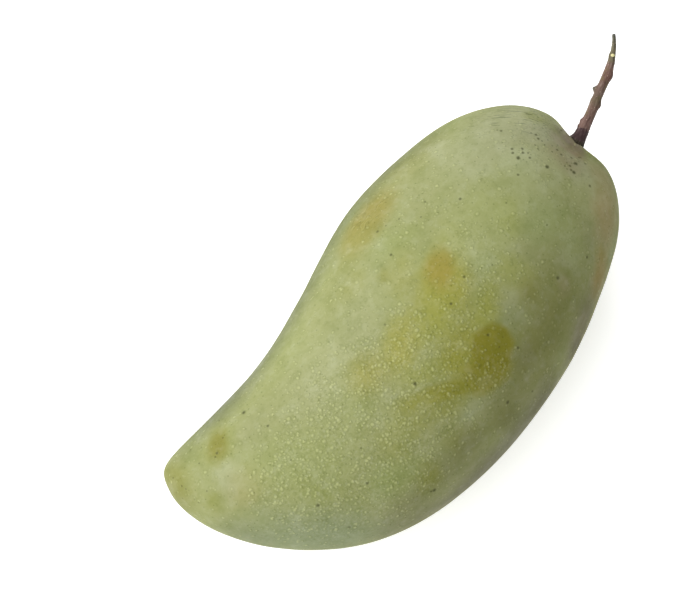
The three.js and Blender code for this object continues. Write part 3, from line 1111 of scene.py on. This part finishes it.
@dataclass
class Fruit:
    """The mango's fruit: one grown skin from the tip to the seat of the stalk."""

    stations: tuple[Station, ...] = (
        Station((-85, 15), (-88, 3), 6.5),
        Station((-78.5, 16.6), (-84.2, -9.9), 12),
        Station((-66, 18), (-73.3, -24.8), 17.5),
        Station((-51, 19.5), (-56.7, -37.3), 23),
        Station((-34, 24), (-37, -44.2), 27.5),
        Station((-15, 32.5), (-15.5, -45.3), 30.5),
        Station((5, 41.5), (5, -41.8), 32),
        Station((26, 43), (27.1, -35.4), 31.5),
        Station((45.5, 44), (47.5, -25.5), 28),
        Station((62, 37), (64.7, -14.8), 20),
        Station((69.2, 26.8), (72, -1), 11.5),
    )
    tip: Pair = (-86.6, 10.3)
    middle_height: float = 31.0
    middle_climb: float = 0.035
    middle_sag: float = 0.0005
    section_fullness: float = 2.1
    waves: tuple[Wave, ...] = (
        Wave(3, 1.1, 0.4, 0.006),
        Wave(2, -1.7, 2.0, 0.005),
        Wave(5, 0.6, 1.0, 0.004),
    )
    seat: Triple = (72.5, 10.5, 46.5)
    cavity_at: Pair = (11.1, 46.5)
    cavity_depth: float = 5.5
    cavity_radius: float = 9.0
    cavity_reach: float = 45.0
    socket_axis_at: Triple = (67.0, 10.6, 46.3)
    socket_axis: Triple = (-0.92, -0.2, -0.33)
    socket_widths: Pair = (1.55, 2.8)
    socket_depth: float = 4.3
    lip_radius: float = 3.3
    lip_width: float = 0.5
    lip_rise: float = 0.05
    swells: tuple[Triple, ...] = ((24.0, 0.28, 3.1), (9.0, 0.1, 11.7))
    swell_starts_at: float = 3.0
    sides: int = 256
    ring_step: float = 0.68
    seat_step: float = 0.13
    seat_zone: Pair = (3.6, 14.0)
    ruler_marks: int = 6001
    finish: SkinFinish = field(default_factory=SkinFinish)

    def height_of_middle(self, x: float) -> float:
        """Height of the fruit's middle over the resting spot, at a place along its length."""
        return self.middle_height + self.middle_climb * x + self.middle_sag * x * x

    def rows(self) -> np.ndarray:
        """Lists the rows of numbers that the skin is drawn over.

        Returns:
            Centre x, y, z, half span x, y and half thickness for each row, tip first.
        """
        middle = []
        for s in self.stations:
            x, y = (s.hollow[0] + s.back[0]) / 2, (s.hollow[1] + s.back[1]) / 2
            spans = ((s.hollow[0] - s.back[0]) / 2, (s.hollow[1] - s.back[1]) / 2)
            middle.append([x, y, self.height_of_middle(x), *spans, s.half_thickness])
        tip = (*self.tip, self.height_of_middle(self.tip[0]))
        start, end = self.closing_rows(tip, middle[0]), self.closing_rows(self.seat, middle[-1])
        return np.array([*start[::-1], *middle, *end])

    @staticmethod
    def closing_rows(end: Triple, row: Sequence[float]) -> list[list[float]]:
        """Lists the two rows that close the skin over an end point.

        Args:
            end: The end point.
            row: The station next to it.

        Returns:
            The row at the end, and one beyond it.
        """
        centre, spans = list(row[:3]), list(row[3:])
        # These two shares make the spline end at the end point itself.
        pulled = [1.5 * value - 0.5 * centre[k] for k, value in enumerate(end)]
        return [[*pulled, 0.0, 0.0, 0.0], [*centre, *(-value for value in spans)]]

    def skin_at(self, places: np.ndarray, angles: np.ndarray) -> np.ndarray:
        """Points of the skin.

        Args:
            places: Places along the rows.
            angles: Angles round the section from the hollow side.

        Returns:
            Points in millimetres, shaped places by angles by 3.
        """
        row = spline(self.rows(), places)[:, None, :]
        power = 2 / self.section_fullness
        factor = np.ones((len(places), len(angles)))
        for wave in self.waves:
            turn = wave.round * angles[None, :] + wave.along * places[:, None] + wave.phase
            factor = factor + wave.height * np.sin(turn)
        across = np.sign(np.cos(angles)) * np.abs(np.cos(angles)) ** power * factor
        up = np.sign(np.sin(angles)) * np.abs(np.sin(angles)) ** power * factor
        points = row[..., :3] + row[..., 3:] * np.stack([across, across, up], axis=-1)
        distance = np.hypot(points[..., 1] - self.cavity_at[0], points[..., 2] - self.cavity_at[1])
        drawn_in = self.cavity_depth * np.exp(-((distance / self.cavity_radius) ** 2))
        points[..., 0] -= drawn_in * smooth_step(0.0, self.cavity_reach, points[..., 0])
        return points

    def ring_places(self) -> np.ndarray:
        """Chooses where the rings go: close together at the stalk, and even elsewhere.

        Returns:
            Places along the rows, without the two ends.
        """
        fine = np.linspace(0, len(self.stations) + 1, self.ruler_marks)
        quarters = self.skin_at(fine, np.radians([0.0, 90.0, 180.0, 270.0]))
        steps = np.linalg.norm(np.diff(quarters, axis=0), axis=-1).max(axis=1)
        seat = quarters[-1].mean(axis=0)
        radius = np.linalg.norm(quarters - seat, axis=-1).mean(axis=1)
        step = self.seat_step + (self.ring_step - self.seat_step) * smooth_step(*self.seat_zone, radius)
        count = np.concatenate([[0], np.cumsum(steps / step[1:])])
        wanted = np.linspace(0, count[-1], int(count[-1]) + 1)[1:-1]
        return np.interp(wanted, count, fine)

    def press_socket(self, points: np.ndarray) -> np.ndarray:
        """Presses in the narrow socket that the stalk grows from, with a low lip round it.

        Args:
            points: Points of the skin in millimetres.

        Returns:
            The moved points.
        """
        axis = np.array(self.socket_axis) / np.linalg.norm(self.socket_axis)
        offset = points - np.array(self.socket_axis_at)
        along = offset @ axis
        radius = np.linalg.norm(offset - along[:, None] * axis, axis=1)
        near = np.abs(along) < self.cavity_radius
        inner, outer = self.socket_widths
        wall = np.clip((outer - radius) / (outer - inner), 0, 1)
        lip = self.lip_rise * np.exp(-(((radius - self.lip_radius) / self.lip_width) ** 2))
        return points + np.where(near, self.socket_depth * wall - lip, 0.0)[:, None] * axis

    def build(self) -> bpy.types.Object:
        """Builds and dresses the fruit.

        Returns:
            The piece.
        """
        angles = np.linspace(0, 2 * math.pi, self.sides, endpoint=False)
        places = self.ring_places()
        ends = self.skin_at(np.array([0.0, len(self.stations) + 1.0]), np.zeros(1))[:, 0]
        piece = closed_skin("fruit_skin", self.skin_at(places, angles), ends[0], ends[1])
        points = read_vertices(piece, Reading.PLACE) * MM_PER_METRE
        normals = read_vertices(piece, Reading.NORMAL)
        swell = sum(rise * unevenness(points, size, seed) for size, rise, seed in self.swells)
        points += normals * (swell * smooth_step(0.0, self.swell_starts_at, points[:, 2]))[:, None]
        points = self.press_socket(points)
        points[:, 2] = np.maximum(points[:, 2], 0.0)
        move_vertices(piece, points)
        piece.data.materials.append(self.finish.make())
        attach(piece, Body.ROOT.value)
        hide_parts(Node.FRUIT.value)
        return piece


# --- The stalk ---


@dataclass(frozen=True)
class Knot:
    """A knot where a side twig fell off: row, angle, rise and spread along."""

    row: float
    angle: float
    rise: float
    spread: float


@dataclass
class Stalk:
    """The woody stalk, from its root in the fruit to its dried tip."""

    rows_at: tuple[tuple[float, float, float, float], ...] = (
        (63.4, 9.8, 45.3, 1.3), (65.2, 10.1, 45.8, 1.9), (67.1, 10.5, 46.3, 2.5),
        (68.6, 11.1, 47.0, 2.15), (70.2, 11.7, 47.8, 1.85), (72.9, 12.9, 49.1, 1.65),
        (75.25, 13.75, 50.2, 1.5), (78.6, 15.5, 51.9, 1.4), (81.5, 16.9, 53.3, 1.4),
        (85.6, 18.6, 55.3, 1.42), (88.3, 20.2, 56.8, 1.2), (90.25, 21.75, 57.9, 0.9),
        (92.45, 23.6, 59.3, 0.6), (93.9, 25.65, 60.6, 0.5),
    )
    knots: tuple[Knot, ...] = (
        Knot(2.95, 0, 0.55, 0.5), Knot(4.6, 5, 0.3, 0.16), Knot(5.15, 0, 0.4, 0.3),
        Knot(6.9, 180, 0.55, 0.35), Knot(7.1, 20, 0.25, 0.25), Knot(7.95, 0, 1.0, 0.2),
        Knot(9.1, 180, 0.4, 0.35), Knot(10.9, 30, 0.3, 0.25),
    )
    knot_width: float = 0.7
    scar: Knot = Knot(10.95, 98, 0.12, 0.2)
    scar_width: float = 0.75
    scar_edge: Pair = (0.4, 0.6)
    collar_lobes: Triple = (5.0, 0.18, 0.4)
    collar_rows: tuple[Pair, Pair] = ((1.2, 1.7), (2.5, 2.9))
    foot_groove: Triple = (4.55, 0.09, 0.07)
    ridges: tuple[tuple[float, float, float, float], ...] = (
        (1.1, 0.3, 0.1, 0.0),
        (0.45, 0.35, 0.045, 5.0),
        (0.8, 1.6, 0.05, 10.0),
    )
    full_relief_radius: float = 1.2
    least_relief: float = 0.35
    end_rise: float = 0.2
    sides: int = 96
    ring_step: float = 0.1
    ruler_marks: int = 4001
    heading_step: float = 0.01
    finish: BarkFinish = field(default_factory=BarkFinish)

    def rows(self) -> np.ndarray:
        """The stalk's rows of centre and radius, with one more beyond each end."""
        rows = np.array(self.rows_at)
        return np.vstack([2 * rows[0] - rows[1], rows, 2 * rows[-1] - rows[-2]])

    def ring_places(self) -> tuple[np.ndarray, np.ndarray]:
        """Chooses evenly spaced rings.

        Returns:
            Places along the rows, and lengths along the stalk in millimetres.
        """
        fine = np.linspace(0, len(self.rows_at) - 1, self.ruler_marks)
        line = spline(self.rows(), fine)[:, :3]
        length = np.concatenate([[0], np.cumsum(np.linalg.norm(np.diff(line, axis=0), axis=1))])
        wanted = np.linspace(0, length[-1], int(length[-1] / self.ring_step))
        return np.interp(wanted, length, fine), wanted

    def headings(self, places: np.ndarray) -> np.ndarray:
        """Works out which way the centre line runs.

        Args:
            places: Places along the rows.

        Returns:
            Its unit direction at each place.
        """
        ahead = spline(self.rows(), np.minimum(places + self.heading_step, len(self.rows_at) - 1))
        behind = spline(self.rows(), np.maximum(places - self.heading_step, 0))
        line = (ahead - behind)[:, :3]
        return line / np.linalg.norm(line, axis=1)[:, None]

    @staticmethod
    def hump(knot: Knot, width: float, places: np.ndarray, angles: np.ndarray) -> np.ndarray:
        """A smooth hump on the surface.

        Args:
            knot: Where it is.
            width: Its half width round the stalk, in radians.
            places: Places along the rows.
            angles: Angles round the stalk.

        Returns:
            A number from 0 to 1, shaped places by angles.
        """
        turn = angles - math.radians(knot.angle)
        round_part = np.arctan2(np.sin(turn), np.cos(turn)) / width
        along_part = (places - knot.row) / knot.spread
        return np.exp(-(along_part[:, None] ** 2) - round_part[None, :] ** 2)

    def bark_relief(self, places: np.ndarray, angles: np.ndarray, straight: np.ndarray) -> np.ndarray:
        """Works out the bark's ridges, the collar's lobes and the groove over the foot.

        Args:
            places: Places along the rows.
            angles: Angles round the stalk.
            straight: The surface laid straight, shaped places by angles by 3.

        Returns:
            What is added to the radius in millimetres, shaped places by angles.
        """
        relief = np.zeros(straight.shape[:2])
        flat = straight.reshape(-1, 3)
        for size, stretch, height, seed in self.ridges:
            drawn = flat * np.array([1.0, 1.0, stretch])
            relief += height * unevenness(drawn, size, seed).reshape(relief.shape)
        lobes, depth, turn = self.collar_lobes
        rises, falls = self.collar_rows
        on_collar = smooth_step(*rises, places) * (1 - smooth_step(*falls, places))
        relief += depth * on_collar[:, None] * np.cos(lobes * angles + turn)[None, :]
        row, spread, groove = self.foot_groove
        relief -= groove * np.exp(-(((places - row) / spread) ** 2))[:, None]
        thick = smooth_step(0.0, self.full_relief_radius, spline(self.rows(), places)[:, 3])
        return relief * (self.least_relief + (1 - self.least_relief) * thick)[:, None]

    def build(self) -> bpy.types.Object:
        """Builds and dresses the stalk.

        Returns:
            The piece.
        """
        places, lengths = self.ring_places()
        angles = np.linspace(0, 2 * math.pi, self.sides, endpoint=False)
        row = spline(self.rows(), places)
        heading = self.headings(places)
        side = np.cross([0.0, 0.0, 1.0], heading)
        side /= np.linalg.norm(side, axis=1)[:, None]
        up = np.cross(heading, side)
        smooth = np.repeat(row[:, 3:4], self.sides, axis=1)
        reach = np.broadcast_to(lengths[:, None], smooth.shape)
        straight = np.stack([smooth * np.cos(angles), smooth * np.sin(angles), reach], axis=-1)
        radius = smooth + self.bark_relief(places, angles, straight)
        for knot in self.knots:
            radius += knot.rise * self.hump(knot, self.knot_width, places, angles)
        scar = self.hump(self.scar, self.scar_width, places, angles)
        radius += self.scar.rise * smooth_step(*self.scar_edge, scar)
        out = np.cos(angles)[None, :, None] * side[:, None] + np.sin(angles)[None, :, None] * up[:, None]
        rings = row[:, None, :3] + out * radius[..., None]
        start = row[0, :3] - heading[0] * self.end_rise
        end = row[-1, :3] + heading[-1] * self.end_rise
        piece = closed_skin("woody_stalk", rings, start, end)
        ends = ((0.0, 0.0, lengths[0]), (0.0, 0.0, lengths[-1]))
        rows_round = np.repeat(places, self.sides)
        keep_on_points(piece, "straight", np.vstack([straight.reshape(-1, 3), *ends]))
        keep_on_points(piece, "row", np.concatenate([rows_round, [places[0], places[-1]]]))
        keep_on_points(piece, "scar", np.concatenate([scar.ravel(), [0.0, 0.0]]))
        piece.data.materials.append(self.finish.make())
        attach(piece, Body.ROOT.value)
        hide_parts(Node.STALK.value)
        return piece


# --- The studio ---


@dataclass
class Studio:
    """A plain white floor, soft light and the camera."""

    floor_half_width: float = 3000.0
    floor_drop: float = 0.1
    floor_finish: FloorFinish = field(default_factory=FloorFinish)
    key_from: Triple = (-0.62, 0.47, 0.63)
    key_strength: float = 5.6
    key_spread: float = 125.0
    sky_colour: Triple = (1.0, 1.0, 1.0)
    sky_strength: float = 0.07
    camera_azimuth: float = -40.0
    camera_elevation: float = 70.0
    camera_distance: float = 900.0
    camera_target: Triple = (-14.606, 19.772, 33.096)
    picture_width: float = 680.0
    focal_pixels: float = 3103.448
    sensor_width: float = 36.0

    def lay_floor(self) -> bpy.types.Object:
        """Lays the floor.

        Returns:
            The floor.
        """
        w, z = self.floor_half_width * METRES_PER_MM, -self.floor_drop * METRES_PER_MM
        mesh = bpy.data.meshes.new("floor")
        mesh.from_pydata([(-w, -w, z), (w, -w, z), (w, w, z), (-w, w, z)], [], [(0, 1, 2, 3)])
        floor = in_scene("floor", mesh)
        floor.data.materials.append(self.floor_finish.make())
        return floor

    def light(self) -> None:
        """Sets the soft key light and the even light from all round."""
        lamp = bpy.data.lights.new("key", "SUN")
        lamp.energy, lamp.angle = self.key_strength, math.radians(self.key_spread)
        key = in_scene("key", lamp)
        key.rotation_mode = "QUATERNION"
        key.rotation_quaternion = Vector(self.key_from).to_track_quat("Z", "Y")
        world = bpy.data.worlds.new("sky")
        world.use_nodes = True
        background = world.node_tree.nodes["Background"]
        background.inputs["Color"].default_value = (*self.sky_colour, 1.0)
        background.inputs["Strength"].default_value = self.sky_strength
        bpy.context.scene.world = world

    def place_camera(self) -> bpy.types.Object:
        """Places the camera.

        Returns:
            The camera.
        """
        azimuth, elevation = math.radians(self.camera_azimuth), math.radians(self.camera_elevation)
        level = math.cos(elevation)
        back = Vector((math.sin(azimuth) * level, -math.cos(azimuth) * level, math.sin(elevation)))
        lens = bpy.data.cameras.new("camera")
        lens.sensor_width = self.sensor_width
        lens.lens = self.focal_pixels / self.picture_width * self.sensor_width
        camera = in_scene("camera", lens)
        camera.location = (Vector(self.camera_target) + back * self.camera_distance) * METRES_PER_MM
        camera.rotation_mode = "QUATERNION"
        camera.rotation_quaternion = (-back).to_track_quat("-Z", "Y")
        bpy.context.scene.camera = camera
        return camera

    def build(self) -> None:
        """Sets up the whole studio."""
        self.lay_floor()
        self.light()
        self.place_camera()
        bpy.context.scene.view_settings.view_transform = "Standard"


def main() -> None:
    """Builds the studio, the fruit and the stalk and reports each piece."""
    logging.basicConfig(level=logging.INFO, format="%(name)s: %(message)s")
    Studio().build()
    builders: tuple[Callable[[], bpy.types.Object], ...] = (Fruit().build, Stalk().build)
    for build in builders:
        piece = build()
        LOG.info("%s: %d points, %d faces", piece.name, len(piece.data.vertices), len(piece.data.polygons))


if __name__ == "__main__":
    main()
